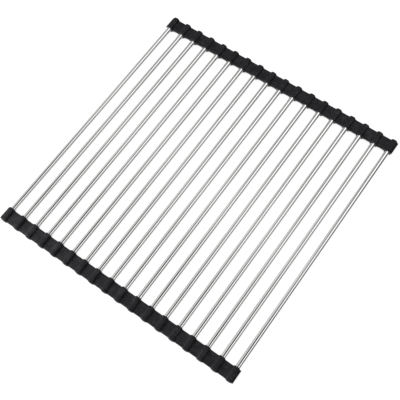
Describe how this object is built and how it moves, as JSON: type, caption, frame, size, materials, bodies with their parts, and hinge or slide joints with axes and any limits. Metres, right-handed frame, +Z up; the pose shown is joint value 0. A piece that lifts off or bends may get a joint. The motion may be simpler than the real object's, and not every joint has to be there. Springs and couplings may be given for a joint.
{
  "type": "roll-up dish drying rack",
  "caption": "Flat dish drying rack of parallel round steel tubes held at both ends in black silicone strips that let it roll up.",
  "frame": {"origin": "middle of the underside, on the surface the rack lies on", "axes": "+Y along the tubes from the near strip to the far strip, +X along the strips from tube 01 to tube 18, +Z up"},
  "size_m": [0.3872, 0.4, 0.0095],
  "materials": {
    "stainless_tube": "smooth drawn stainless steel, satin-bright",
    "black_silicone": "matte moulded silicone, very dark grey"
  },
  "bodies": {
    "segment_01": {"steel_tube_01": "stainless_tube", "near_strip_link_01": "black_silicone", "far_strip_link_01": "black_silicone"},
    "segment_02": {"steel_tube_02": "stainless_tube", "near_strip_link_02": "black_silicone", "far_strip_link_02": "black_silicone"},
    "segment_03": {"steel_tube_03": "stainless_tube", "near_strip_link_03": "black_silicone", "far_strip_link_03": "black_silicone"},
    "segment_04": {"steel_tube_04": "stainless_tube", "near_strip_link_04": "black_silicone", "far_strip_link_04": "black_silicone"},
    "segment_05": {"steel_tube_05": "stainless_tube", "near_strip_link_05": "black_silicone", "far_strip_link_05": "black_silicone"},
    "segment_06": {"steel_tube_06": "stainless_tube", "near_strip_link_06": "black_silicone", "far_strip_link_06": "black_silicone"},
    "segment_07": {"steel_tube_07": "stainless_tube", "near_strip_link_07": "black_silicone", "far_strip_link_07": "black_silicone"},
    "segment_08": {"steel_tube_08": "stainless_tube", "near_strip_link_08": "black_silicone", "far_strip_link_08": "black_silicone"},
    "segment_09": {"steel_tube_09": "stainless_tube", "near_strip_link_09": "black_silicone", "far_strip_link_09": "black_silicone"},
    "segment_10": {"steel_tube_10": "stainless_tube", "near_strip_link_10": "black_silicone", "far_strip_link_10": "black_silicone"},
    "segment_11": {"steel_tube_11": "stainless_tube", "near_strip_link_11": "black_silicone", "far_strip_link_11": "black_silicone"},
    "segment_12": {"steel_tube_12": "stainless_tube", "near_strip_link_12": "black_silicone", "far_strip_link_12": "black_silicone"},
    "segment_13": {"steel_tube_13": "stainless_tube", "near_strip_link_13": "black_silicone", "far_strip_link_13": "black_silicone"},
    "segment_14": {"steel_tube_14": "stainless_tube", "near_strip_link_14": "black_silicone", "far_strip_link_14": "black_silicone"},
    "segment_15": {"steel_tube_15": "stainless_tube", "near_strip_link_15": "black_silicone", "far_strip_link_15": "black_silicone"},
    "segment_16": {"steel_tube_16": "stainless_tube", "near_strip_link_16": "black_silicone", "far_strip_link_16": "black_silicone"},
    "segment_17": {"steel_tube_17": "stainless_tube", "near_strip_link_17": "black_silicone", "far_strip_link_17": "black_silicone"},
    "segment_18": {"steel_tube_18": "stainless_tube", "near_strip_link_18": "black_silicone", "far_strip_link_18": "black_silicone"}
  },
  "joints": [
    {"name": "web_hinge_01_02", "type": "hinge", "parent": "segment_02", "child": "segment_01", "pos_m": [-0.176, 0, 0.00475], "axis": [0, 1, 0], "range_deg": [0, 66], "stiffness_Nm_per_rad": 0.015},
    {"name": "web_hinge_02_03", "type": "hinge", "parent": "segment_03", "child": "segment_02", "pos_m": [-0.154, 0, 0.00475], "axis": [0, 1, 0], "range_deg": [0, 60], "stiffness_Nm_per_rad": 0.015},
    {"name": "web_hinge_03_04", "type": "hinge", "parent": "segment_04", "child": "segment_03", "pos_m": [-0.132, 0, 0.00475], "axis": [0, 1, 0], "range_deg": [0, 55], "stiffness_Nm_per_rad": 0.015},
    {"name": "web_hinge_04_05", "type": "hinge", "parent": "segment_05", "child": "segment_04", "pos_m": [-0.11, 0, 0.00475], "axis": [0, 1, 0], "range_deg": [0, 51], "stiffness_Nm_per_rad": 0.015},
    {"name": "web_hinge_05_06", "type": "hinge", "parent": "segment_06", "child": "segment_05", "pos_m": [-0.088, 0, 0.00475], "axis": [0, 1, 0], "range_deg": [0, 48], "stiffness_Nm_per_rad": 0.015},
    {"name": "web_hinge_06_07", "type": "hinge", "parent": "segment_07", "child": "segment_06", "pos_m": [-0.066, 0, 0.00475], "axis": [0, 1, 0], "range_deg": [0, 45], "stiffness_Nm_per_rad": 0.015},
    {"name": "web_hinge_07_08", "type": "hinge", "parent": "segment_08", "child": "segment_07", "pos_m": [-0.044, 0, 0.00475], "axis": [0, 1, 0], "range_deg": [0, 43], "stiffness_Nm_per_rad": 0.015},
    {"name": "web_hinge_08_09", "type": "hinge", "parent": "segment_09", "child": "segment_08", "pos_m": [-0.022, 0, 0.00475], "axis": [0, 1, 0], "range_deg": [0, 41], "stiffness_Nm_per_rad": 0.015},
    {"name": "web_hinge_09_10", "type": "hinge", "parent": "segment_10", "child": "segment_09", "pos_m": [0, 0, 0.00475], "axis": [0, 1, 0], "range_deg": [0, 40], "stiffness_Nm_per_rad": 0.015},
    {"name": "web_hinge_10_11", "type": "hinge", "parent": "segment_10", "child": "segment_11", "pos_m": [0.022, 0, 0.00475], "axis": [0, -1, 0], "range_deg": [0, 38], "stiffness_Nm_per_rad": 0.015},
    {"name": "web_hinge_11_12", "type": "hinge", "parent": "segment_11", "child": "segment_12", "pos_m": [0.044, 0, 0.00475], "axis": [0, -1, 0], "range_deg": [0, 37], "stiffness_Nm_per_rad": 0.015},
    {"name": "web_hinge_12_13", "type": "hinge", "parent": "segment_12", "child": "segment_13", "pos_m": [0.066, 0, 0.00475], "axis": [0, -1, 0], "range_deg": [0, 35], "stiffness_Nm_per_rad": 0.015},
    {"name": "web_hinge_13_14", "type": "hinge", "parent": "segment_13", "child": "segment_14", "pos_m": [0.088, 0, 0.00475], "axis": [0, -1, 0], "range_deg": [0, 34], "stiffness_Nm_per_rad": 0.015},
    {"name": "web_hinge_14_15", "type": "hinge", "parent": "segment_14", "child": "segment_15", "pos_m": [0.11, 0, 0.00475], "axis": [0, -1, 0], "range_deg": [0, 33], "stiffness_Nm_per_rad": 0.015},
    {"name": "web_hinge_15_16", "type": "hinge", "parent": "segment_15", "child": "segment_16", "pos_m": [0.132, 0, 0.00475], "axis": [0, -1, 0], "range_deg": [0, 32], "stiffness_Nm_per_rad": 0.015},
    {"name": "web_hinge_16_17", "type": "hinge", "parent": "segment_16", "child": "segment_17", "pos_m": [0.154, 0, 0.00475], "axis": [0, -1, 0], "range_deg": [0, 32], "stiffness_Nm_per_rad": 0.015},
    {"name": "web_hinge_17_18", "type": "hinge", "parent": "segment_17", "child": "segment_18", "pos_m": [0.176, 0, 0.00475], "axis": [0, -1, 0], "range_deg": [0, 31], "stiffness_Nm_per_rad": 0.015}
  ]
}
